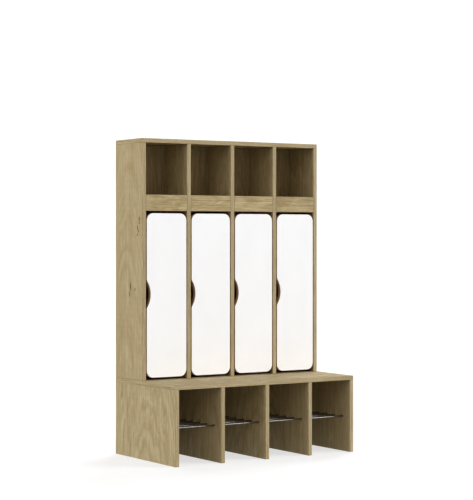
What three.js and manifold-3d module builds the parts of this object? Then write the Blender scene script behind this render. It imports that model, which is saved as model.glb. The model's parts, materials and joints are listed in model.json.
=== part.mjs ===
// Four-bay locker cabinet with a shoe bench: oak-faced boards, white flush doors on concealed
// hinges, open cubbies above the doors, and steel shoe rods under the seat.
//
// Millimetres, +Z up. +X is to the right of someone facing the doors, and the front faces -Y.
// The origin is the centre of the footprint, on the floor.

import * as THREE from 'three';
import { mergeVertices } from 'three/addons/utils/BufferGeometryUtils.js';
import Module from 'manifold-3d';

const wasm = await Module();
wasm.setup();

// ---------------------------------------------------------------- driving dimensions

const bayCount = 4;
const board = 18; // every panel is cut from the same board
const bayWidth = 194; // clear width between uprights
const height = 1300;
const seatHeight = 319;
const benchDepth = 486;
const lockerDepth = 223;
const backInset = 22; // the back panels sit this far in from the rear edges

const fasciaHeight = 66;
const fasciaTop = 1071.5;

const doorSideGap = 3.25;
const doorBottomGap = 9.5;
const doorTopGap = 9;
const doorCornerRadius = 30;
const gripHeight = 667; // middle of the finger cutout in the free edge of each door
const gripDepth = 18;
const gripRadius = 95;
const gripBlend = 24; // rounds the corners where the cutout meets the straight edge

const rodCount = 7;
const rodRadius = 4;
const rodHeight = 146;
const rodMargin = 52.75; // first rod from the bench front, and last rod from the back panel
const rodSocketDepth = 10;

const clearance = 0.3; // between a cut piece and the piece it sits in
const roundSides = 24;
const smallRoundSides = 12;

// ---------------------------------------------------------------- derived places

const width = bayCount * bayWidth + (bayCount + 1) * board;
const rear = benchDepth / 2;
const benchFront = -benchDepth / 2;
const lockerFront = rear - lockerDepth;
const backFace = rear - backInset - board; // front face of both back panels
const seatUnderside = seatHeight - board;
const topUnderside = height - board;
const fasciaBottom = fasciaTop - fasciaHeight;
const innerHalfWidth = width / 2 - board;

const doorWidth = bayWidth - 2 * doorSideGap;
const doorBottom = seatHeight + doorBottomGap;
const doorHeight = fasciaBottom - doorTopGap - doorBottom;

// left face of upright 0 is the cabinet's left side, upright bayCount is its right side
function uprightLeft(index) {
  return -width / 2 + index * (bayWidth + board);
}

function bayLeft(bay) {
  return uprightLeft(bay) + board;
}

function bayRight(bay) {
  return bayLeft(bay) + bayWidth;
}

// ---------------------------------------------------------------- materials

function finish(color, roughness, metalness) {
  return new THREE.MeshStandardMaterial({ color, roughness, metalness });
}

const oak = finish('#ac9c76', 0.55, 0);
const whiteBoard = finish('#f4f2f0', 0.35, 0);
const rodSteel = finish('#9b9893', 0.2, 1);
const hingeSteel = finish('#a3a3a1', 0.35, 1);
const hookSteel = finish('#8f8f8d', 0.4, 1);

// ---------------------------------------------------------------- geometry helpers

function named(name, geometry, material) {
  const mesh = new THREE.Mesh(geometry, material);
  mesh.name = name;
  return mesh;
}

// a box between two opposite corners
function boxBetween(low, high) {
  const box = new THREE.BoxGeometry(high[0] - low[0], high[1] - low[1], high[2] - low[2]);
  return box.translate((low[0] + high[0]) / 2, (low[1] + high[1]) / 2, (low[2] + high[2]) / 2);
}

function panel(name, low, high) {
  return named(name, boxBetween(low, high), oak);
}

// a cylinder whose axis runs along X, centred on the given point
function cylinderX(radius, length, centre, sides) {
  const cylinder = new THREE.CylinderGeometry(radius, radius, length, sides);
  return cylinder.rotateZ(Math.PI / 2).translate(...centre);
}

// a cylinder whose axis runs along Z, centred on the given point
function cylinderZ(radius, length, centre, sides) {
  const cylinder = new THREE.CylinderGeometry(radius, radius, length, sides);
  return cylinder.rotateX(Math.PI / 2).translate(...centre);
}

function toSolid(geometry) {
  const bare = geometry.clone();
  bare.deleteAttribute('normal');
  bare.deleteAttribute('uv');
  const merged = mergeVertices(bare);
  return new wasm.Manifold(
    new wasm.Mesh({
      numProp: 3,
      vertProperties: Float32Array.from(merged.getAttribute('position').array),
      triVerts: Uint32Array.from(merged.getIndex().array),
    }),
  );
}

function fromSolid(solid) {
  const { vertProperties, triVerts } = solid.getMesh();
  const geometry = new THREE.BufferGeometry();
  geometry.setAttribute('position', new THREE.BufferAttribute(vertProperties, 3));
  geometry.setIndex(new THREE.BufferAttribute(triVerts, 1));
  geometry.computeVertexNormals();
  return geometry;
}

function cutAll(geometry, cutters) {
  const cut = cutters.reduce((solid, cutter) => solid.subtract(toSolid(cutter)), toSolid(geometry));
  return fromSolid(cut);
}

function joinAll(geometries) {
  const [first, ...rest] = geometries.map(toSolid);
  return rest.reduce((solid, next) => solid.add(next), first);
}

// ---------------------------------------------------------------- bench

function rodPlaces() {
  const pitch = (backFace - benchFront - 2 * rodMargin) / (rodCount - 1);
  return Array.from({ length: rodCount }, (_, row) => benchFront + rodMargin + row * pitch);
}

// holes for every rod, across one bench upright between two x positions
function rodHoles(fromX, toX) {
  const length = toX - fromX;
  const middle = (fromX + toX) / 2;
  const radius = rodRadius + clearance;
  return rodPlaces().map((y) => cylinderX(radius, length, [middle, y, rodHeight], smallRoundSides));
}

function benchUpright(name, index) {
  const left = uprightLeft(index);
  const right = left + board;
  const outer = index === 0 || index === bayCount;
  const blank = boxBetween([left, benchFront, 0], [right, outer ? rear : backFace, seatUnderside]);
  const overrun = 1;
  const holeLeft = index === 0 ? -innerHalfWidth - rodSocketDepth : left - overrun;
  const holeRight = index === bayCount ? innerHalfWidth + rodSocketDepth : right + overrun;
  return named(name, cutAll(blank, rodHoles(holeLeft, holeRight)), oak);
}

function shoeRods() {
  const length = 2 * (innerHalfWidth + rodSocketDepth - clearance);
  return rodPlaces().map((y, row) =>
    named(`shoe_rod_${row + 1}`, cylinderX(rodRadius, length, [0, y, rodHeight], smallRoundSides), rodSteel),
  );
}

function bench() {
  const group = new THREE.Group();
  group.add(
    panel('bench_seat', [-width / 2, benchFront, seatUnderside], [width / 2, rear, seatHeight]),
    panel('bench_back', [-innerHalfWidth, backFace, 0], [innerHalfWidth, backFace + board, seatUnderside]),
    benchUpright('bench_side_left', 0),
    benchUpright('bench_side_right', bayCount),
    ...shoeRods(),
  );
  for (let index = 1; index < bayCount; index += 1) {
    group.add(benchUpright(`bench_divider_${index}`, index));
  }
  return group;
}

// ---------------------------------------------------------------- locker carcass

function lockerUpright(name, index) {
  const left = uprightLeft(index);
  const outer = index === 0 || index === bayCount;
  const back = outer ? rear : backFace;
  return panel(name, [left, lockerFront, seatHeight], [left + board, back, topUnderside]);
}

function shelfAndFascia(bay) {
  const fasciaBack = lockerFront + board;
  return [
    panel(
      `fascia_${bay + 1}`,
      [bayLeft(bay), lockerFront, fasciaBottom],
      [bayRight(bay), fasciaBack, fasciaTop],
    ),
    panel(`shelf_${bay + 1}`, [bayLeft(bay), fasciaBack, fasciaTop - board], [bayRight(bay), backFace, fasciaTop]),
  ];
}

function carcass() {
  const group = new THREE.Group();
  group.add(
    panel('locker_top', [-width / 2, lockerFront, topUnderside], [width / 2, rear, height]),
    panel(
      'locker_back',
      [-innerHalfWidth, backFace, seatHeight],
      [innerHalfWidth, backFace + board, topUnderside],
    ),
    lockerUpright('locker_side_left', 0),
    lockerUpright('locker_side_right', bayCount),
  );
  for (let index = 1; index < bayCount; index += 1) {
    group.add(lockerUpright(`locker_divider_${index}`, index));
  }
  for (let bay = 0; bay < bayCount; bay += 1) {
    group.add(...shelfAndFascia(bay));
  }
  return group;
}

// ---------------------------------------------------------------- doors and concealed hinges

// The hinge pin stands inside the cup. Places below are measured from the pin's axis,
// with x to the right, towards the upright, and y to the back of the cabinet.
const pinFromDoorEdge = 14;
const pinFromDoorFront = board / 2;
const pinRadius = 1;
const hingeFromDoorEnd = 100; // hinge centre, up or down from the door's ends
const cupRadius = 17.5;
const cupFromDoorEdge = 22.5;
const cupHoleDepth = 12.5;
const cupWall = 1.5;
const cupFloor = 0.9;
const cupFlange = { thickness: 1, overlap: 1.5, wingReach: 26, wingHalfWidth: 7 };
const arm = { thickness: 2.4, width: 14, eyeRadius: 2 };
const armNeck = { left: -17, front: 6, back: 20 }; // the stretch that clears the door's edge when it opens
const armTail = { left: 6, front: 36, back: 80 }; // the stretch that lies on the plate
const hingePlate = { front: 38, length: 40, height: 18, wingThickness: 2, wingReach: 25, wingLength: 14 };

const doorBack = board - pinFromDoorFront;
const uprightFace = pinFromDoorEdge + doorSideGap;
const cupCentre = pinFromDoorEdge - cupFromDoorEdge;

function hingeHeights() {
  return [doorBottom + doorHeight - hingeFromDoorEnd, doorBottom + hingeFromDoorEnd];
}

function pinPlace(bay) {
  return [bayRight(bay) - uprightFace, lockerFront + pinFromDoorFront];
}

// the door's outline, with its lower left corner at the origin
function doorOutline() {
  const outline = new THREE.Shape();
  const r = doorCornerRadius;
  const middle = gripHeight - doorBottom;
  const arcCentre = gripDepth - gripRadius;
  const blendRise = Math.sqrt((gripRadius + gripBlend) ** 2 - (gripBlend - arcCentre) ** 2);
  const meet = Math.atan2(blendRise, gripBlend - arcCentre);
  outline.moveTo(r, 0);
  outline.lineTo(doorWidth - r, 0);
  outline.absarc(doorWidth - r, r, r, -Math.PI / 2, 0);
  outline.absarc(doorWidth - r, doorHeight - r, r, 0, Math.PI / 2);
  outline.absarc(r, doorHeight - r, r, Math.PI / 2, Math.PI);
  outline.absarc(gripBlend, middle + blendRise, gripBlend, Math.PI, Math.PI + meet);
  outline.absarc(arcCentre, middle, gripRadius, meet, -meet, true);
  outline.absarc(gripBlend, middle - blendRise, gripBlend, Math.PI - meet, Math.PI);
  outline.absarc(r, r, r, Math.PI, 1.5 * Math.PI);
  return outline;
}

function door(bay) {
  const slab = new THREE.ExtrudeGeometry(doorOutline(), {
    depth: board,
    bevelEnabled: false,
    curveSegments: smallRoundSides / 2,
  });
  slab.rotateX(Math.PI / 2);
  slab.translate(bayLeft(bay) + doorSideGap, lockerFront + board, doorBottom);
  const [pinX] = pinPlace(bay);
  const overrun = 1;
  const cupHoles = hingeHeights().map((z) => {
    const hole = new THREE.CylinderGeometry(
      cupRadius + clearance,
      cupRadius + clearance,
      cupHoleDepth + overrun,
      roundSides,
    );
    return hole.translate(pinX + cupCentre, lockerFront + board - (cupHoleDepth - overrun) / 2, z);
  });
  return named(`door_${bay + 1}`, cutAll(slab, cupHoles), whiteBoard);
}

// a strip of constant thickness along a path of [x, y] points, as a closed outline
function stripOutline(path, thickness) {
  const points = path.map(([x, y]) => new THREE.Vector2(x, y));
  const sides = { left: [], right: [] };
  points.forEach((point, i) => {
    const before = points[Math.max(i - 1, 0)];
    const after = points[Math.min(i + 1, points.length - 1)];
    const into = point.clone().sub(before).normalize();
    const out = after.clone().sub(point).normalize();
    const along = into.add(out).normalize();
    const normal = new THREE.Vector2(-along.y, along.x);
    const reference = i === 0 ? after.clone().sub(point) : point.clone().sub(before);
    const squareness = new THREE.Vector2(-reference.y, reference.x).normalize().dot(normal);
    const reach = thickness / 2 / squareness;
    sides.left.push(point.clone().addScaledVector(normal, reach));
    sides.right.push(point.clone().addScaledVector(normal, -reach));
  });
  return new THREE.Shape([...sides.left, ...sides.right.reverse()]);
}

// the shell that is pressed into the door, with its fixing wings and its cross pin
function hingeCup() {
  const top = doorBack + clearance + cupFlange.thickness;
  const flangeUnderside = doorBack + clearance;
  const bottom = doorBack - cupHoleDepth + clearance;
  const bore = cupRadius - cupWall;
  const profile = [
    [0, bottom],
    [cupRadius, bottom],
    [cupRadius, flangeUnderside],
    [cupRadius + cupFlange.overlap, flangeUnderside],
    [cupRadius + cupFlange.overlap, top],
    [bore, top],
    [bore, bottom + cupFloor],
    [0, bottom + cupFloor],
  ].map(([x, y]) => new THREE.Vector2(x, y));
  const shell = new THREE.LatheGeometry(profile, roundSides).translate(cupCentre, 0, 0);
  const pinLength = 2 * Math.sqrt((cupRadius - cupWall / 2) ** 2 - cupCentre ** 2);
  const pin = cylinderZ(pinRadius, pinLength, [0, 0, 0], smallRoundSides);
  const wings = [-1, 1].map((side) =>
    boxBetween(
      [cupCentre - cupFlange.wingHalfWidth, flangeUnderside, Math.min(side * bore, side * cupFlange.wingReach)],
      [cupCentre + cupFlange.wingHalfWidth, top, Math.max(side * bore, side * cupFlange.wingReach)],
    ),
  );
  const mouth = new THREE.CylinderGeometry(bore, bore, 2 * board, roundSides);
  mouth.translate(cupCentre, bottom + cupFloor + board, 0);
  const solid = joinAll([shell, ...wings]).subtract(toSolid(mouth)).add(toSolid(pin));
  return fromSolid(solid);
}

// the cranked arm from the pin's eye to the plate on the upright
function hingeArm() {
  const path = [
    [0, 0],
    [armNeck.left + 4, 1],
    [armNeck.left, armNeck.front],
    [armNeck.left, armNeck.back],
    [armTail.left, armTail.front],
    [armTail.left, armTail.back],
  ];
  const strip = new THREE.ExtrudeGeometry(stripOutline(path, arm.thickness), {
    depth: arm.width,
    bevelEnabled: false,
  });
  strip.translate(0, 0, -arm.width / 2);
  const eye = cylinderZ(arm.eyeRadius, arm.width, [0, 0, 0], smallRoundSides);
  const plateEnd = hingePlate.front + hingePlate.length;
  const plate = boxBetween(
    [armTail.left, hingePlate.front, -hingePlate.height / 2],
    [uprightFace, plateEnd, hingePlate.height / 2],
  );
  const wingMiddle = (hingePlate.front + plateEnd) / 2;
  const wings = boxBetween(
    [uprightFace - hingePlate.wingThickness, wingMiddle - hingePlate.wingLength / 2, -hingePlate.wingReach],
    [uprightFace, wingMiddle + hingePlate.wingLength / 2, hingePlate.wingReach],
  );
  const eyeHole = cylinderZ(pinRadius + clearance, 2 * arm.width, [0, 0, 0], smallRoundSides);
  return fromSolid(joinAll([strip, eye, plate, wings]).subtract(toSolid(eyeHole)));
}

function hinges(bay) {
  const [pinX, pinY] = pinPlace(bay);
  return hingeHeights().flatMap((z, index) => {
    const level = index === 0 ? 'upper' : 'lower';
    const cup = named(`hinge_cup_${bay + 1}_${level}`, hingeCup(), hingeSteel);
    const armMesh = named(`hinge_arm_${bay + 1}_${level}`, hingeArm(), hingeSteel);
    [cup, armMesh].forEach((piece) => piece.position.set(pinX, pinY, z));
    return [cup, armMesh];
  });
}

// ---------------------------------------------------------------- coat hooks

const hookHeight = 975; // middle of the hook's wall plate
const hookPlate = { width: 20, height: 64, thickness: 3 };
const prongRadius = 3;
const prongKnobRadius = 5;
const prongBendShare = 0.7; // of the prong's reach or rise, whichever is less
const upperProng = { reach: 48, rise: 26, z: 12 }; // z is measured from the middle of the plate
const lowerProng = { reach: 26, rise: 16, z: -20 };

// one upturned prong: straight out of the plate, then up, with a ball on its end
function prong({ reach, rise, z }) {
  const bend = Math.min(reach, rise) * prongBendShare;
  const route = new THREE.CurvePath();
  const root = new THREE.Vector3(0, -hookPlate.thickness / 2, z);
  const bendStart = new THREE.Vector3(0, -(reach - bend), z);
  const corner = new THREE.Vector3(0, -reach, z);
  const bendEnd = new THREE.Vector3(0, -reach, z + bend);
  const tip = new THREE.Vector3(0, -reach, z + rise);
  route.add(new THREE.LineCurve3(root, bendStart));
  route.add(new THREE.QuadraticBezierCurve3(bendStart, corner, bendEnd));
  route.add(new THREE.LineCurve3(bendEnd, tip));
  const section = new THREE.Shape().absarc(0, 0, prongRadius, 0, 2 * Math.PI);
  const rod = new THREE.ExtrudeGeometry(section, { extrudePath: route, steps: 10, curveSegments: 5 });
  const knob = new THREE.SphereGeometry(prongKnobRadius, smallRoundSides, smallRoundSides / 2);
  return [rod, knob.translate(tip.x, tip.y, tip.z)];
}

function coatHook(bay) {
  const half = [hookPlate.width / 2, hookPlate.height / 2];
  const plate = boxBetween([-half[0], -hookPlate.thickness, -half[1]], [half[0], 0, half[1]]);
  const pieces = [plate, ...prong(upperProng), ...prong(lowerProng)];
  const mesh = named(`coat_hook_${bay + 1}`, fromSolid(joinAll(pieces)), hookSteel);
  mesh.position.set(bayLeft(bay) + bayWidth / 2, backFace, hookHeight);
  return mesh;
}

// ---------------------------------------------------------------- assembly

const cabinet = new THREE.Group();
cabinet.name = 'locker_cabinet';
cabinet.add(bench(), carcass());
for (let bay = 0; bay < bayCount; bay += 1) {
  cabinet.add(door(bay), ...hinges(bay), coatHook(bay));
}

export default cabinet;
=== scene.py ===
"""Looks for the locker cabinet: oak-decor boards with edge bands, white doors with bare fibre edges,
steel rods, concealed hinges and coat hooks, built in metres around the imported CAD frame."""

import json
import math
import random

import bmesh
import bpy
from mathutils import Matrix, Vector

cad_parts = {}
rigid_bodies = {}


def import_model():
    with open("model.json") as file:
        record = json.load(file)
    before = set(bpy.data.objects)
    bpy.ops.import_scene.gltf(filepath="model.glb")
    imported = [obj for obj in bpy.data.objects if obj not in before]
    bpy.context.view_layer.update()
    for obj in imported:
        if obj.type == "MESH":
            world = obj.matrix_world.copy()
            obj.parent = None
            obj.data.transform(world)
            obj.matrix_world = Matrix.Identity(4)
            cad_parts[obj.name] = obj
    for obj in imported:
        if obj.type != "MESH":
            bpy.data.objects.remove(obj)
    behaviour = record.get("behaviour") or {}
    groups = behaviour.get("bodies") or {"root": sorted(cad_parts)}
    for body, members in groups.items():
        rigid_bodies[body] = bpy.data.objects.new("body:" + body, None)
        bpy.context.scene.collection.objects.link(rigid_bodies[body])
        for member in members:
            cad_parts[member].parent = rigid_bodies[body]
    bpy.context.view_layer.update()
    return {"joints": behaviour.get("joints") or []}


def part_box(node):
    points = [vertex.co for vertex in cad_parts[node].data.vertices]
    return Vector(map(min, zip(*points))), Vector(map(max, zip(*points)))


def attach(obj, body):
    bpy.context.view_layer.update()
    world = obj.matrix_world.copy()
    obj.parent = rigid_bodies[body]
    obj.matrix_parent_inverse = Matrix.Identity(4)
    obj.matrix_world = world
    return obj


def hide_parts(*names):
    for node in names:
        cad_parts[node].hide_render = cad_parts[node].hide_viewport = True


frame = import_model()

MM = 0.001
X, Y, Z = range(3)

BAYS = 4
ROD_ROWS = 7
EDGE_ROUNDING = 1.5 * MM
RING_SPACING = 4.2 * MM

# knots on the left outer side: y, z, half width and half length
LEFT_SIDE_KNOTS = [
    (43 * MM, 973 * MM, 6 * MM, 13 * MM),
    (42 * MM, 957 * MM, 5 * MM, 7 * MM),
    (57 * MM, 937 * MM, 5 * MM, 12 * MM),
    (51 * MM, 924 * MM, 5 * MM, 9 * MM),
    (58 * MM, 909 * MM, 5 * MM, 7 * MM),
    (117 * MM, 697 * MM, 6 * MM, 24 * MM),
    (124 * MM, 666 * MM, 5 * MM, 14 * MM),
    (80 * MM, 686 * MM, 5 * MM, 9 * MM),
]

# doors: the CAD model's sizes, and the easing of their rims
DOOR_CORNER = 30 * MM
DOOR_EASING = 0.7 * MM
GRIP_HEIGHT = 667 * MM
GRIP_DEPTH = 18 * MM
GRIP_RADIUS = 95 * MM
GRIP_BLEND = 24 * MM
CUP_HOLE_RADIUS = 17.8 * MM
CUP_HOLE_DEPTH = 12.5 * MM

# screws, hinges and coat hooks are built in millimetres, and points closer than WELD become one
WELD = 0.001
HOOK_HALF_WIDTH = 10
HOOK_HALF_HEIGHT = 32
HOOK_THICKNESS = 3


# ---------------------------------------------------------------- material building

class Shader:
    """One Principled material, with short calls for the nodes that feed it."""

    def __init__(self, name, **constants):
        self.material = bpy.data.materials.new(name)
        self.material.use_nodes = True
        self.tree = self.material.node_tree
        self.surface = self.tree.nodes["Principled BSDF"]
        for socket, value in constants.items():
            self.surface.inputs[socket.replace("_", " ")].default_value = value

    def node(self, kind, inputs, **settings):
        node = self.tree.nodes.new("ShaderNode" + kind)
        for key, value in settings.items():
            setattr(node, key, value)
        for key, value in inputs.items():
            self.feed(node.inputs[key], value)
        return node

    def feed(self, socket, value):
        if isinstance(value, bpy.types.NodeSocket):
            self.tree.links.new(value, socket)
        else:
            socket.default_value = value

    def math(self, operation, a, b=0.0):
        return self.node("Math", {0: a, 1: b}, operation=operation).outputs[0]

    def swing(self, value, amount):
        """A 0-1 value turned into a swing of plus or minus half the amount."""
        return self.math("MULTIPLY", self.math("SUBTRACT", value, 0.5), amount)

    def vector(self, operation, a, b):
        return self.node("VectorMath", {0: a, 1: b}, operation=operation).outputs[0]

    def noise(self, vector, scale, detail=2.0, roughness=0.5):
        """Noise on coordinates stretched by a scale for each axis."""
        stretched = self.vector("MULTIPLY", vector, scale)
        inputs = {"Vector": stretched, "Scale": 1.0, "Detail": detail, "Roughness": roughness}
        return self.node("TexNoise", inputs).outputs["Fac"]

    def ramp(self, value, stops):
        """Piecewise-linear grey or colour from (position, value) stops."""
        node = self.node("ValToRGB", {"Fac": value})
        elements = node.color_ramp.elements
        while len(elements) < len(stops):
            elements.new(0.5)
        for element, (position, shade) in zip(elements, stops):
            element.position = position
            element.color = (*shade, 1) if isinstance(shade, tuple) else (shade, shade, shade, 1)
        return node.outputs["Color"]

    def mix(self, factor, a, b):
        return self.node("Mix", {0: factor, 6: a, 7: b}, data_type="RGBA").outputs[2]

    def bump(self, height, distance, strength):
        node = self.node("Bump", {"Height": height, "Distance": distance, "Strength": strength})
        self.feed(self.surface.inputs["Normal"], node.outputs["Normal"])

    def put(self, socket, value):
        self.feed(self.surface.inputs[socket], value)

    def position(self):
        return self.node("TexCoord", {}).outputs["Object"]

    def attribute(self, name):
        return self.node("Attribute", {}, attribute_name=name).outputs["Vector"]


def srgb(red, green, blue):
    """A linear colour from 0-255 display values."""
    def linear(value):
        share = value / 255
        return share / 12.92 if share <= 0.04045 else ((share + 0.055) / 1.055) ** 2.4
    return (linear(red), linear(green), linear(blue))


# ---------------------------------------------------------------- materials

def knot_shade(look, knots):
    """1 at the heart of any of the knots, falling to 0 around it."""
    place = look.position()
    shade = 0.0
    for y, z, half_width, half_length in knots:
        offset = look.vector("SUBTRACT", place, (0, y, z))
        stretched = look.vector("MULTIPLY", offset, (0, 1 / half_width, 1 / half_length))
        distance = look.node("VectorMath", {0: stretched}, operation="LENGTH").outputs["Value"]
        ragged = look.math("ADD", distance, look.swing(look.noise(place, (500, 500, 160), 2.0), 0.8))
        shade = look.math("MAXIMUM", shade, look.ramp(ragged, [(0.4, 1.0), (0.7, 0.45), (1.0, 0.0)]))
    return shade


def oak(name, shift, contrast, tint=(1, 1, 1), knots=()):
    """Flat-sawn light oak decor. The "grain" attribute is across, through and along the timber, in metres."""
    look = Shader(name, Specular_IOR_Level=0.3)
    grain = look.vector("ADD", look.attribute("grain"), shift)
    across, through, along = look.node("SeparateXYZ", {0: grain}).outputs

    # growth rings: distance from a pith that wanders and leans, which draws arches on a flat-sawn face
    wander = look.swing(look.noise(grain, (5, 5, 1.2), 2.0), 0.026)
    wave = look.swing(look.noise(grain, (26, 26, 7), 2.0), 0.008 * contrast)
    ragged = look.swing(look.noise(grain, (170, 170, 16), 2.0), 0.0022 * contrast)
    lean = look.math("ADD", through, look.math("MULTIPLY", along, 0.04))
    flat = look.node("CombineXYZ", {0: across, 1: lean}).outputs[0]
    radius = look.node("VectorMath", {0: flat}, operation="LENGTH").outputs["Value"]
    distance = look.math("ADD", look.math("ADD", radius, wander), look.math("ADD", wave, ragged))
    ring = look.math("FRACT", look.math("DIVIDE", distance, RING_SPACING))
    latewood = look.ramp(ring, [(0.0, 0.25), (0.1, 0.0), (0.5, 0.15), (0.85, 1.0), (1.0, 0.25)])

    # tone: broad bands, streaks that follow the rings, then straight strands and fibres
    flow = look.node("CombineXYZ", {0: distance, 2: along}).outputs[0]
    bands = look.noise(grain, (15, 15, 0.8), 2.0)
    streaks = look.noise(flow, (430, 1, 3), 3.0, 0.6)
    strands = look.noise(grain, (220, 220, 6), 3.0, 0.7)
    fibres = look.noise(grain, (620, 620, 16), 3.0, 0.6)
    tone = 0.0
    for layer, share in ((bands, 0.12), (streaks, 0.24), (strands, 0.36), (fibres, 0.28)):
        tone = look.math("ADD", tone, look.math("MULTIPLY", layer, share))
    shades = [srgb(148, 129, 92), srgb(173, 157, 120), srgb(197, 182, 149)]
    # a tint, where given, is painted warm light laid into the colour
    dark, middle, light = [tuple(a * b for a, b in zip(shade, tint)) for shade in shades]
    reach = 0.08 / contrast
    colour = look.ramp(tone, [(0.5 - reach, dark), (0.5, middle), (0.5 + reach, light)])
    colour = look.mix(look.math("MULTIPLY", latewood, 0.26 * contrast), colour, (*srgb(127, 102, 60), 1))

    # open pores are short dark dashes, thickest in the early wood; ray flecks are short light ones
    pores = look.ramp(look.noise(grain, (1300, 1300, 42), 1.0), [(0.59, 0.0), (0.68, 1.0)])
    pores = look.math("MULTIPLY", pores, look.ramp(ring, [(0.0, 1.0), (0.45, 0.4), (1.0, 0.6)]))
    colour = look.mix(look.math("MULTIPLY", pores, 0.5), colour, (*srgb(97, 76, 45), 1))
    flecks = look.ramp(look.noise(grain, (700, 700, 40), 1.0), [(0.64, 0.0), (0.74, 1.0)])
    colour = look.mix(look.math("MULTIPLY", flecks, 0.4), colour, (*srgb(206, 190, 154), 1))

    # pin knots, and a dark halo round each
    spots = look.node("TexVoronoi", {"Vector": look.vector("MULTIPLY", grain, (1, 0, 0.5)), "Scale": 3.2})
    knot = look.ramp(spots.outputs["Distance"], [(0.007, 1.0), (0.016, 0.3), (0.04, 0.0)])
    knot = look.math("MAXIMUM", knot, knot_shade(look, knots))
    colour = look.mix(look.math("MULTIPLY", knot, 0.85), colour, (*srgb(70, 48, 27), 1))

    look.put("Base Color", colour)
    look.put("Roughness", look.ramp(pores, [(0.0, 0.55), (1.0, 0.8)]))
    relief = look.math("ADD", look.math("MULTIPLY", pores, -1.0), look.math("MULTIPLY", latewood, 0.25))
    look.bump(relief, 0.0002, 0.5)
    return look.material


def white_laminate():
    """Satin white with a fine pearl texture and slightly uneven gloss."""
    look = Shader("white_laminate")
    place = look.position()
    cloud = look.noise(place, (9, 9, 5), 3.0)
    look.put("Base Color", look.ramp(cloud, [(0.3, srgb(245, 246, 248)), (0.7, srgb(248, 249, 251))]))
    look.put("Roughness", look.ramp(look.noise(place, (30, 30, 12), 4.0), [(0.3, 0.3), (0.7, 0.4)]))
    look.bump(look.noise(place, (1600, 1600, 1600), 2.0), 0.00005, 0.35)
    return look.material


def fibre_edge():
    """Bare medium-density fibreboard, browned by the cutter, with a speckle of fibres."""
    look = Shader("fibre_edge", Roughness=0.8)
    place = look.position()
    speckle = look.noise(place, (2600, 900, 2600), 3.0, 0.7)
    layers = look.noise(place, (20, 900, 20), 2.0)
    tone = look.math("ADD", look.math("MULTIPLY", speckle, 0.6), look.math("MULTIPLY", layers, 0.4))
    look.put("Base Color", look.ramp(tone, [(0.35, srgb(154, 122, 96)), (0.65, srgb(204, 170, 140))]))
    look.bump(speckle, 0.0001, 0.6)
    return look.material


def drawn_steel():
    """Bright drawn rod: fine lines along its length, which runs along X."""
    look = Shader("drawn_steel", Metallic=1.0)
    place = look.position()
    lines = look.noise(place, (6, 2600, 2600), 2.0)
    look.put("Base Color", look.ramp(lines, [(0.3, srgb(115, 112, 108)), (0.7, srgb(145, 141, 136))]))
    look.put("Roughness", look.ramp(look.noise(place, (40, 400, 400), 3.0), [(0.3, 0.34), (0.7, 0.46)]))
    look.bump(lines, 0.00002, 0.4)
    return look.material


def plated_steel(name, light, rough):
    """Nickel-plated pressed steel, with faint rolling marks and handling haze."""
    look = Shader(name, Metallic=1.0)
    place = look.position()
    haze = look.noise(place, (120, 120, 120), 4.0, 0.6)
    dark = tuple(0.8 * channel for channel in light)
    look.put("Base Color", look.ramp(haze, [(0.3, dark), (0.7, light)]))
    look.put("Roughness", look.ramp(haze, [(0.3, rough - 0.05), (0.7, rough + 0.1)]))
    look.bump(look.noise(place, (900, 900, 4000), 2.0), 0.00002, 0.5)
    return look.material


# boards with grain across the cabinet have a bolder face; its yellower tint is painted warm light on the
# fronts
PAINTED_WARM_LIGHT_TINT = (1.05, 1.04, 0.95)
OAK_FACE = oak("oak_face", (0.0, 0.0, 0.0), 0.75)
OAK_BOLD = oak("oak_bold_face", (0.0, 0.0, 0.0), 1.1, tint=PAINTED_WARM_LIGHT_TINT)
OAK_BAND = oak("oak_edge_band", (1.7, 0.011, 2.3), 0.7)
OAK_KNOTTY = oak("oak_knotty_face", (0.0, 0.0, 0.0), 0.5, knots=LEFT_SIDE_KNOTS)
WHITE = white_laminate()
FIBRE = fibre_edge()
ROD = drawn_steel()
HINGE = plated_steel("hinge_nickel", srgb(196, 195, 192), 0.26)
HOOK = plated_steel("hook_nickel", srgb(178, 177, 174), 0.32)
SCREW = plated_steel("screw_zinc", srgb(188, 186, 180), 0.3)


# ---------------------------------------------------------------- mesh building

def finish_mesh(name, mesh, materials, sharp_degrees=40):
    """An object from a mesh, smooth except at edges sharper than the angle, with face-weighted normals."""
    mesh.name = name
    for material in materials:
        mesh.materials.append(material)
    mesh.shade_smooth()
    mesh.set_sharp_from_angle(angle=math.radians(sharp_degrees))
    piece = bpy.data.objects.new(name, mesh)
    bpy.context.scene.collection.objects.link(piece)
    weighting = piece.modifiers.new("face_weighted_normals", "WEIGHTED_NORMAL")
    weighting.keep_sharp = True
    weighting.weight = 100
    return piece


def to_mesh(bm):
    bmesh.ops.recalc_face_normals(bm, faces=bm.faces)
    mesh = bpy.data.meshes.new("piece")
    bm.to_mesh(mesh)
    bm.free()
    return mesh


def rounded_box(low, high, rounding, segments=3):
    """A box with every edge rounded. Material 0 is on the two largest faces, material 1 on the rest."""
    bm = bmesh.new()
    size = Vector(high) - Vector(low)
    middle = (Vector(high) + Vector(low)) / 2
    bmesh.ops.create_cube(bm, size=1, matrix=Matrix.Translation(middle) @ Matrix.Diagonal((*size, 1)))
    bmesh.ops.bevel(bm, geom=bm.edges[:], offset=rounding, segments=segments, profile=0.5, affect="EDGES")
    thin = min(range(3), key=lambda axis: size[axis])
    bm.normal_update()
    for face in bm.faces:
        face.material_index = 0 if abs(face.normal[thin]) > 0.999 else 1
    return to_mesh(bm)


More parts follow.
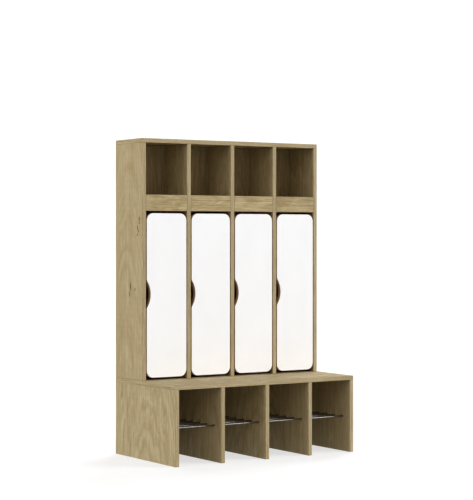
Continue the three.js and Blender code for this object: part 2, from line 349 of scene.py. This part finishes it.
def combine(mesh, other, operation="DIFFERENCE"):
    """The mesh with another one cut away or joined on; new faces keep the other one's material numbers."""
    collection = bpy.context.scene.collection
    blank = bpy.data.objects.new("blank", mesh)
    tool = bpy.data.objects.new("tool", other)
    collection.objects.link(blank)
    collection.objects.link(tool)
    boolean = blank.modifiers.new("boolean", "BOOLEAN")
    boolean.operation = operation
    boolean.solver = "EXACT"
    boolean.object = tool
    bpy.context.view_layer.update()
    result = bpy.data.meshes.new_from_object(blank.evaluated_get(bpy.context.evaluated_depsgraph_get()))
    bpy.data.objects.remove(blank)
    bpy.data.objects.remove(tool)
    return result


def join(mesh, *others):
    for other in others:
        mesh = combine(mesh, other, "UNION")
    return mesh


def add_copy(bm, mesh, matrix, material):
    """Adds a moved copy of a mesh to a bmesh, all in one material."""
    copy = mesh.copy()
    copy.transform(matrix)
    for polygon in copy.polygons:
        polygon.material_index = material
    bm.from_mesh(copy)
    bpy.data.meshes.remove(copy)


def circle(bm, centre, radius, side, up, sides):
    """New points spread evenly round a circle in the plane of two unit vectors."""
    turns = [2 * math.pi * step / sides for step in range(sides)]
    return [bm.verts.new(centre + radius * (side * math.cos(t) + up * math.sin(t))) for t in turns]


def lathe(bm, profile, origin, axis, sides=48, material=0):
    """Turns a profile of (radius, height) points about an axis through origin. Radius 0 closes an end."""
    axis = Vector(axis).normalized()
    side = axis.orthogonal().normalized()
    third = axis.cross(side)
    rings = []
    for radius, height in profile:
        centre = Vector(origin) + axis * height
        rings.append(circle(bm, centre, radius, side, third, sides) if radius else [bm.verts.new(centre)])
    for lower, upper in zip(rings, rings[1:]):
        for step in range(sides):
            ahead = (step + 1) % sides
            corners = [lower[step % len(lower)], lower[ahead % len(lower)]]
            corners += [upper[ahead % len(upper)], upper[step % len(upper)]]
            unique = list(dict.fromkeys(corners))
            bm.faces.new(unique).material_index = material


def turned(profile, origin, axis, sides=48):
    bm = bmesh.new()
    lathe(bm, profile, origin, axis, sides)
    return to_mesh(bm)


def bar_profile(radius, start, end, chamfer=0):
    """The profile of a round bar between two heights on its axis, with square or chamfered ends."""
    wall = [(radius, start + chamfer), (radius, end - chamfer)]
    if chamfer:
        wall = [(radius - chamfer, start), *wall, (radius - chamfer, end)]
    return [(0, start), *wall, (0, end)]


def arc(centre, radius, start, end, steps=16):
    """Points on an arc in a plane, from start to end in degrees, both ends included."""
    turns = [math.radians(start + (end - start) * step / steps) for step in range(steps + 1)]
    return [(centre[0] + radius * math.cos(t), centre[1] + radius * math.sin(t)) for t in turns]


def eased_prism(outline, place, depth, ease):
    """A closed outline swept by the depth vector, with both rims eased.

    Place turns a point of the outline into a point in space."""
    bm = bmesh.new()
    near = [bm.verts.new(place(*point)) for point in outline]
    far = [bm.verts.new(place(*point) + Vector(depth)) for point in outline]
    caps = [bm.faces.new(near), bm.faces.new(far[::-1])]
    for here, (a, b) in enumerate(zip(near, near[1:] + near[:1])):
        bm.faces.new([b, a, far[here], far[(here + 1) % len(far)]])
    rims = [edge for cap in caps for edge in cap.edges]
    bmesh.ops.bevel(bm, geom=rims, offset=ease, segments=2, profile=0.5, affect="EDGES")
    return to_mesh(bm)


# ---------------------------------------------------------------- boards

def add_grain(piece, node, along, rng):
    """Writes the timber's own coordinates to the mesh: across, through and along the grain.

    On the board's two ends the grain runs along the edge band instead."""
    low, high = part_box(node)
    size = high - low
    through = min(range(3), key=lambda axis: size[axis])
    across = 3 - along - through
    middle = (low + high) / 2
    pith = size[across] * rng.uniform(-0.35, 0.35)
    depth = rng.uniform(0.05, 0.11)
    start = rng.uniform(0, 40)
    mesh = piece.data
    attribute = mesh.attributes.new("grain", "FLOAT_VECTOR", "CORNER")
    for polygon in mesh.polygons:
        at_end = max(range(3), key=lambda axis: abs(polygon.normal[axis])) == along
        side, length = (along, across) if at_end else (across, along)
        for corner in polygon.loop_indices:
            place = mesh.vertices[mesh.loops[corner].vertex_index].co - middle
            grain = (place[side] - pith, place[through] + depth, place[length] + start)
            attribute.data[corner].vector = grain


def board_face(node, along):
    """The decor on a board's two large faces."""
    if along == X:
        return OAK_BOLD
    return OAK_KNOTTY if node == "locker_side_left" else OAK_FACE


def board(node, along, rng, cutter=None):
    mesh = rounded_box(*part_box(node), EDGE_ROUNDING)
    if cutter:
        mesh = combine(mesh, cutter)
    piece = finish_mesh(node + "_board", mesh, [board_face(node, along), OAK_BAND])
    add_grain(piece, node, along, rng)
    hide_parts(node)
    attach(piece, "cabinet")


def rod_cutter(low, high):
    """Bores for all the rods across one upright, with eased rims."""
    bm = bmesh.new()
    bore, clearance, ease, overrun = 4.3 * MM, 0.3 * MM, 0.5 * MM, 1 * MM
    mouth = bore + ease + overrun
    for row in range(1, ROD_ROWS + 1):
        start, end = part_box(f"shoe_rod_{row}")
        centre = (start + end) / 2
        from_x = max(low[X] - overrun, start[X] - clearance)
        to_x = min(high[X] + overrun, end[X] + clearance)
        left = [(mouth, from_x), (bore, low[X] + ease)] if from_x < low[X] else [(bore, from_x)]
        right = [(bore, high[X] - ease), (mouth, to_x)] if to_x > high[X] else [(bore, to_x)]
        profile = [(0, from_x), *left, *right, (0, to_x)]
        lathe(bm, profile, (0, centre[Y], centre[Z]), (1, 0, 0), sides=32, material=1)
    return to_mesh(bm)


def boards():
    rng = random.Random(11)
    uprights = ["side_left", "divider_1", "divider_2", "divider_3", "side_right"]
    for upright in uprights:
        node = "bench_" + upright
        board(node, Z, rng, rod_cutter(*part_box(node)))
        board("locker_" + upright, Z, rng)
    board("bench_seat", X, rng)
    board("bench_back", X, rng)
    board("locker_top", X, rng)
    board("locker_back", Z, rng)
    for bay in range(1, BAYS + 1):
        board(f"fascia_{bay}", X, rng)
        board(f"shelf_{bay}", X, rng)


# ---------------------------------------------------------------- shoe rods

def shoe_rods():
    chamfer = 0.6 * MM
    for row in range(1, ROD_ROWS + 1):
        node = f"shoe_rod_{row}"
        low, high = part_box(node)
        profile = bar_profile((high[Z] - low[Z]) / 2, low[X], high[X], chamfer)
        mesh = turned(profile, (0, (low[Y] + high[Y]) / 2, (low[Z] + high[Z]) / 2), (1, 0, 0), sides=32)
        piece = finish_mesh(node + "_bar", mesh, [ROD], sharp_degrees=30)
        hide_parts(node)
        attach(piece, "cabinet")


# ---------------------------------------------------------------- doors

def door_outline(low, high):
    """The door outline in x and z, anticlockwise from the front, with the finger cutout on its left edge."""
    left, right, bottom, top, r = low[X], high[X], low[Z], high[Z], DOOR_CORNER
    arc_x = left + GRIP_DEPTH - GRIP_RADIUS
    blend_x = left + GRIP_BLEND
    rise = math.sqrt((GRIP_RADIUS + GRIP_BLEND) ** 2 - (blend_x - arc_x) ** 2)
    meet = math.degrees(math.atan2(rise, blend_x - arc_x))
    points = arc((right - r, bottom + r), r, -90, 0)
    points += arc((right - r, top - r), r, 0, 90)
    points += arc((left + r, top - r), r, 90, 180)
    points += arc((blend_x, GRIP_HEIGHT + rise), GRIP_BLEND, 180, 180 + meet, 8)
    points += arc((arc_x, GRIP_HEIGHT), GRIP_RADIUS, meet, -meet, 24)[1:-1]
    points += arc((blend_x, GRIP_HEIGHT - rise), GRIP_BLEND, 180 - meet, 180, 8)
    points += arc((left + r, bottom + r), r, 180, 270)
    return points


def inset(outline, distance):
    """A closed anticlockwise outline moved inwards by a distance."""
    moved = []
    for before, here, after in zip(outline[-1:] + outline[:-1], outline, outline[1:] + outline[:1]):
        arriving = (Vector(here) - Vector(before)).normalized()
        leaving = (Vector(after) - Vector(here)).normalized()
        inward = Vector((-arriving.y - leaving.y, arriving.x + leaving.x)).normalized()
        mitre = 1 / inward.dot(Vector((-leaving.y, leaving.x)))
        moved.append(Vector(here) + inward * distance * mitre)
    return moved


def rounded_slab(outline, front, back, rounding, steps=3):
    """An outline in x and z swept from front to back in y. Its rounded rims and its walls are material 1."""
    turns = [math.pi / 2 * step / steps for step in range(steps + 1)]
    rim = [(rounding * (1 - math.sin(turn)), rounding * (1 - math.cos(turn))) for turn in turns]
    levels = [(inwards, front + deep) for inwards, deep in rim]
    levels += [(inwards, back - deep) for inwards, deep in reversed(rim)]
    bm = bmesh.new()
    rings = [[bm.verts.new((x, y, z)) for x, z in inset(outline, inwards)] for inwards, y in levels]
    bm.faces.new(rings[0])
    bm.faces.new(rings[-1][::-1])
    for lower, upper in zip(rings, rings[1:]):
        for here in range(len(outline)):
            ahead = (here + 1) % len(outline)
            bm.faces.new([lower[ahead], lower[here], upper[here], upper[ahead]]).material_index = 1
    return to_mesh(bm)


def door_panel(bay):
    node = f"door_{bay}"
    low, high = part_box(node)
    mesh = rounded_slab(door_outline(low, high), low[Y], high[Y], DOOR_EASING)

    tool = bmesh.new()
    overrun = 1 * MM
    for level in ("upper", "lower"):
        cup_low, cup_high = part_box(f"hinge_cup_{bay}_{level}")
        centre = (cup_low + cup_high) / 2
        profile = bar_profile(CUP_HOLE_RADIUS, 0, CUP_HOLE_DEPTH + overrun)
        origin = (centre[X], high[Y] - CUP_HOLE_DEPTH, centre[Z])
        lathe(tool, profile, origin, (0, 1, 0), material=1)
    mesh = combine(mesh, to_mesh(tool))

    piece = finish_mesh(node + "_panel", mesh, [WHITE, FIBRE])
    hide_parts(node)
    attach(piece, node)


# ---------------------------------------------------------------- screws, hinges and hooks, in millimetres

def screw_mesh():
    """A low domed screw head with a cross recess, standing on z = 0."""
    reach, height = 3.4, 1.5
    sphere = (reach ** 2 + height ** 2) / (2 * height)
    lean = math.degrees(math.acos(reach / sphere))
    dome = arc((0, height - sphere), sphere, lean, 90, 8)[:-1]
    mesh = turned([(0, 0), *dome, (0, height)], (0, 0, 0), (0, 0, 1), sides=32)
    slot_length, slot_width, slot_floor, slot_easing = 3.8, 0.9, 0.6, 0.1
    for length, width in ((slot_length, slot_width), (slot_width, slot_length)):
        low, high = (-length / 2, -width / 2, slot_floor), (length / 2, width / 2, 2 * height)
        mesh = combine(mesh, rounded_box(low, high, slot_easing, segments=1))
    return mesh


SCREW_HEAD = screw_mesh()


def add_screws(mesh, places, direction):
    """The mesh with screw heads at the places, facing the direction, in material 1."""
    bm = bmesh.new()
    bm.from_mesh(mesh)
    bmesh.ops.remove_doubles(bm, verts=bm.verts[:], dist=WELD)
    turn = Vector(direction).to_track_quat("Z", "Y").to_matrix().to_4x4()
    for place in places:
        add_copy(bm, SCREW_HEAD, Matrix.Translation(place) @ turn, 1)
    return to_mesh(bm)


def slotted_round(half_width, reach, centre=0.0):
    """A strip with round ends, as an outline: half_width to each side of the centre, reach up and down."""
    middle = reach - half_width
    return arc((centre, middle), half_width, 0, 180) + arc((centre, -middle), half_width, 180, 360)


def flange_outline(ring, ear, reach):
    """A round flange with a rounded screw ear above and below it."""
    meet = math.degrees(math.acos(ear / ring))
    right = arc((0, 0), ring, -meet, meet)
    left = arc((0, 0), ring, 180 - meet, 180 + meet)
    ears = slotted_round(ear, reach)
    half = len(ears) // 2
    return right + ears[:half] + left + ears[half:]


def bowl_profile(radius, corner, floor):
    """The profile of a bowl's floor, from its middle to the top of the rounded corner at its wall."""
    return [(0, floor), *arc((radius - corner, floor + corner), corner, -90, 0, 6)]


def hinge_cup_mesh():
    """The pressed cup, its flange with two screws, and its pin. The origin is the middle of the pin."""
    centre, screw_reach = -8.5, 22.2
    flange_under, flange_top, flange_easing = 9.3, 10.3, 0.25
    flange = eased_prism(flange_outline(ring=19, ear=7, reach=26),
                         lambda x, z: Vector((x + centre, flange_under, z)),
                         (0, flange_top - flange_under, 0), flange_easing)

    outer, body_top, floor, floor_thickness = 17.5, 9.8, -3.2, 0.9
    body_profile = bowl_profile(outer, 2, floor)
    body_profile += [(outer, body_top), (0, body_top)]
    body = turned(body_profile, (centre, 0, 0), (0, 1, 0))

    bore, easing, overrun = 16, 0.4, 0.6
    mouth_profile = bowl_profile(bore, 1.5, floor + floor_thickness)
    mouth_profile += [(bore, flange_top - easing), (bore + easing + overrun, flange_top + overrun)]
    mouth_profile += [(0, flange_top + overrun)]
    mouth = turned(mouth_profile, (centre, 0, 0), (0, 1, 0))

    pin_radius, pin_end = 1, 14.4
    pin = turned(bar_profile(pin_radius, -pin_end, pin_end), (0, 0, 0), (0, 0, 1), sides=16)
    mesh = join(combine(join(body, flange), mouth), pin)
    return add_screws(mesh, [(centre, flange_top, side * screw_reach) for side in (-1, 1)], (0, 1, 0))


def rounded_path(points, reach, steps=6):
    """A path of (x, y) points with rounded corners, each curve starting reach away from its corner."""
    path = [Vector(points[0])]
    for before, corner, after in zip(points, points[1:], points[2:]):
        corner = Vector(corner)
        start = corner + (Vector(before) - corner).normalized() * reach
        end = corner + (Vector(after) - corner).normalized() * reach
        for step in range(steps + 1):
            t = step / steps
            path.append((1 - t) ** 2 * start + 2 * t * (1 - t) * corner + t ** 2 * end)
    path.append(Vector(points[-1]))
    return path


def strip_outline(path, thickness):
    """Both sides of a strip that follows a path, as one closed outline."""
    left, right = [], []
    for here, point in enumerate(path):
        before = path[max(here - 1, 0)]
        after = path[min(here + 1, len(path) - 1)]
        along = (after - before).normalized()
        offset = Vector((-along.y, along.x)) * thickness / 2
        left.append(point + offset)
        right.append(point - offset)
    return [tuple(point) for point in left + right[::-1]]


def hinge_arm_mesh():
    """The cranked arm on the pin, its plate with wings on the upright, and their screws."""
    half_width, thickness, easing = 7, 2.4, 0.3
    crank = rounded_path([(0, 0), (-13, 1), (-17, 6), (-17, 20), (6, 36), (6, 80)], reach=2.8)
    strip = eased_prism(strip_outline(crank, thickness), lambda x, y: Vector((x, y, -half_width)),
                        (0, 0, 2 * half_width), easing)

    eye_radius, eye_end, eye_chamfer = 2, 7.4, 0.2
    bore_radius, bore_end = 1.3, 9
    eye = turned(bar_profile(eye_radius, -eye_end, eye_end, eye_chamfer), (0, 0, 0), (0, 0, 1), sides=24)
    bore = turned(bar_profile(bore_radius, -bore_end, bore_end), (0, 0, 0), (0, 0, 1), sides=24)

    upright, arm_side = 17.25, 6
    plate_near, plate_far, plate_half_height, plate_rounding = 38, 78, 9, 0.9
    plate = rounded_box((arm_side, plate_near, -plate_half_height), (upright, plate_far, plate_half_height),
                        plate_rounding)
    for polygon in plate.polygons:
        polygon.material_index = 0

    wing_middle, wing_half_width, wing_reach, wing_thickness, wing_screw = 58, 7, 25, 2, 18
    wing_face = upright - wing_thickness
    wings = eased_prism(slotted_round(wing_half_width, wing_reach, wing_middle),
                        lambda y, z: Vector((wing_face, y, z)), (wing_thickness, 0, 0), easing)

    mesh = combine(join(strip, eye, plate, wings), bore)
    mesh = add_screws(mesh, [(wing_face, wing_middle, side * wing_screw) for side in (-1, 1)], (-1, 0, 0))
    arm_face = arm_side - thickness / 2
    return add_screws(mesh, [(arm_face, back, 0) for back in (47, 68)], (-1, 0, 0))


def prong_mesh(reach, rise, height):
    """A round prong that leaves the plate straight, bends upwards and ends in a ball."""
    shaft, ball, fillet, root = 3, 5, 3, 1
    bend = 0.7 * min(reach, rise)
    straight = reach - bend
    length = straight + bend * math.pi / 2 + rise - bend
    fillet_end = HOOK_THICKNESS + fillet
    ball_start = length - math.sqrt(ball ** 2 - shaft ** 2)

    def centre_line(run):
        """The place and direction of the prong's centre, a run along it from the back of the plate."""
        turned_by = min(max((run - straight) / bend, 0), math.pi / 2)
        beyond = max(run - straight - bend * math.pi / 2, 0)
        forward = min(run, straight) + bend * math.sin(turned_by)
        place = Vector((0, -forward, height + bend * (1 - math.cos(turned_by)) + beyond))
        return place, Vector((0, -math.cos(turned_by), math.sin(turned_by)))

    def radius(run):
        if run > ball_start:
            return math.sqrt(max(ball ** 2 - (run - length) ** 2, 0))
        from_plate = max(run - HOOK_THICKNESS, 0)
        flare = fillet - math.sqrt(fillet ** 2 - (fillet - from_plate) ** 2) if from_plate < fillet else 0
        return shaft + flare

    sides, fillet_steps, shaft_steps = 24, 6, 30
    runs = [root]
    runs += [HOOK_THICKNESS + fillet * step / fillet_steps for step in range(fillet_steps + 1)]
    shaft_length = ball_start - fillet_end
    runs += [fillet_end + shaft_length * step / shaft_steps for step in range(1, shaft_steps + 1)]
    runs += [length + ball * math.sin(math.radians(turn)) for turn in range(-45, 91, 9)]
    sideways = Vector((1, 0, 0))
    bm = bmesh.new()
    rings = []
    for run in runs:
        place, direction = centre_line(run)
        rings.append(circle(bm, place, radius(run), sideways, direction.cross(sideways), sides))
    for lower, upper in zip(rings, rings[1:]):
        for side in range(sides):
            ahead = (side + 1) % sides
            bm.faces.new([lower[side], lower[ahead], upper[ahead], upper[side]])
    bm.faces.new(rings[0])
    bmesh.ops.remove_doubles(bm, verts=rings[-1], dist=WELD)
    return to_mesh(bm)


def coat_hook_mesh():
    """A wall plate with a long prong above a short one. The origin is the middle of the plate's back."""
    easing = 0.7
    plate = eased_prism(slotted_round(HOOK_HALF_WIDTH, HOOK_HALF_HEIGHT),
                        lambda x, z: Vector((x, -HOOK_THICKNESS, z)), (0, HOOK_THICKNESS, 0), easing)
    long_prong = prong_mesh(reach=48, rise=26, height=12)
    short_prong = prong_mesh(reach=26, rise=16, height=-20)
    mesh = join(plate, long_prong, short_prong)
    return add_screws(mesh, [(0, -HOOK_THICKNESS, height) for height in (25, -4)], (0, -1, 0))


def fit(node, suffix, mesh, place, materials, body):
    """Puts a copy of a millimetre mesh in a CAD node's place."""
    copy = mesh.copy()
    copy.transform(Matrix.Translation(place) @ Matrix.Scale(MM, 4))
    piece = finish_mesh(node + suffix, copy, materials, sharp_degrees=35)
    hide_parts(node)
    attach(piece, body)


def hinges():
    cup, arm = hinge_cup_mesh(), hinge_arm_mesh()
    for joint in frame["joints"]:
        door, cabinet = joint["child"], joint["parent"]
        bay = door.split("_")[1]
        for level in ("upper", "lower"):
            low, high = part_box(f"hinge_cup_{bay}_{level}")
            pin = Vector((joint["pos_m"][X], joint["pos_m"][Y], (low[Z] + high[Z]) / 2))
            fit(f"hinge_cup_{bay}_{level}", "_pressing", cup, pin, [HINGE, SCREW], door)
            fit(f"hinge_arm_{bay}_{level}", "_pressing", arm, pin, [HINGE, SCREW], cabinet)


def coat_hooks():
    hook = coat_hook_mesh()
    for bay in range(1, BAYS + 1):
        low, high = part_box(f"coat_hook_{bay}")
        place = Vector(((low[X] + high[X]) / 2, high[Y], low[Z] + HOOK_HALF_HEIGHT * MM))
        fit(f"coat_hook_{bay}", "_casting", hook, place, [HOOK, SCREW], "cabinet")


# ---------------------------------------------------------------- stage, camera and lights

def floor_material():
    """A plain white studio floor, lit mostly by its own glow, which keeps the shadows on it light."""
    look = Shader("studio_floor", Roughness=0.8, Emission_Color=(1, 1, 1, 1), Emission_Strength=0.69)
    cloud = look.noise(look.position(), (0.6, 0.6, 0.6), 2.0)
    look.put("Base Color", look.ramp(cloud, [(0.3, 0.3), (0.7, 0.32)]))
    look.material.cycles.emission_sampling = "NONE"
    return look.material


def stage():
    bm = bmesh.new()
    bmesh.ops.create_grid(bm, x_segments=8, y_segments=8, size=40)
    floor = finish_mesh("floor", to_mesh(bm), [floor_material()])
    floor.visible_diffuse = False
    floor.visible_glossy = False


def camera():
    data = bpy.data.cameras.new("camera")
    data.lens = 117.8
    data.sensor_width = 36
    data.shift_y = -0.0277
    data.clip_end = 200
    viewer = bpy.data.objects.new("camera", data)
    viewer.location = (-3.684, -5.745, 0.903)
    viewer.rotation_euler = (math.radians(90), 0, math.radians(-32.72))
    bpy.context.scene.collection.objects.link(viewer)
    bpy.context.scene.camera = viewer


def softbox(name, azimuth, elevation, strength, spread, colour=(1, 1, 1)):
    """A large distant light. Azimuth 0 is straight in front of the doors and 90 is to their right."""
    data = bpy.data.lights.new(name, "SUN")
    data.angle = math.radians(spread)
    data.energy = math.pi * strength
    data.color = colour
    light = bpy.data.objects.new(name, data)
    turn, rise = math.radians(azimuth), math.radians(elevation)
    towards = Vector((math.sin(turn) * math.cos(rise), -math.cos(turn) * math.cos(rise), math.sin(rise)))
    light.rotation_euler = towards.to_track_quat("Z", "Y").to_euler()
    bpy.context.scene.collection.objects.link(light)


def lights():
    softbox("right_front_light", 54, 18, 1.06, 35)
    softbox("left_light", -97, 10, 0.78, 30)
    softbox("left_front_light", -60, 25, 0.25, 50)
    softbox("back_right_light", 130, 45, 0.52, 30)
    softbox("front_light", 15, 12, 0.095, 40, colour=(1, 0.85, 0.7))
    softbox("back_light", 180, 30, 0.25, 40)


def world():
    """An even fill, brighter from below, as over a pale floor. The camera sees a plain white background."""
    sky = bpy.data.worlds.new("studio")
    bpy.context.scene.world = sky
    sky.use_nodes = True
    tree = sky.node_tree
    direction = tree.nodes.new("ShaderNodeTexCoord")
    parts = tree.nodes.new("ShaderNodeSeparateXYZ")
    tree.links.new(direction.outputs["Generated"], parts.inputs[0])
    by_height = tree.nodes.new("ShaderNodeMapRange")
    tree.links.new(parts.outputs["Z"], by_height.inputs["Value"])
    fade = {"From Min": -0.2, "From Max": 0.2, "To Min": 0.34, "To Max": 0.055}
    for socket, value in fade.items():
        by_height.inputs[socket].default_value = value
    fill = tree.nodes["Background"]
    fill.inputs["Color"].default_value = (1, 1, 1, 1)
    tree.links.new(by_height.outputs[0], fill.inputs["Strength"])
    white = tree.nodes.new("ShaderNodeBackground")
    white.inputs["Color"].default_value = (1, 1, 1, 1)
    white.inputs["Strength"].default_value = 1.1
    seen = tree.nodes.new("ShaderNodeLightPath")
    choice = tree.nodes.new("ShaderNodeMixShader")
    tree.links.new(seen.outputs["Is Camera Ray"], choice.inputs[0])
    tree.links.new(fill.outputs[0], choice.inputs[1])
    tree.links.new(white.outputs[0], choice.inputs[2])
    tree.links.new(choice.outputs[0], tree.nodes["World Output"].inputs["Surface"])


camera()
world()
lights()
stage()
bpy.context.scene.view_settings.view_transform = "Standard"
bpy.context.scene.view_settings.gamma = 0.9
boards()
shoe_rods()
for bay in range(1, BAYS + 1):
    door_panel(bay)
hinges()
coat_hooks()
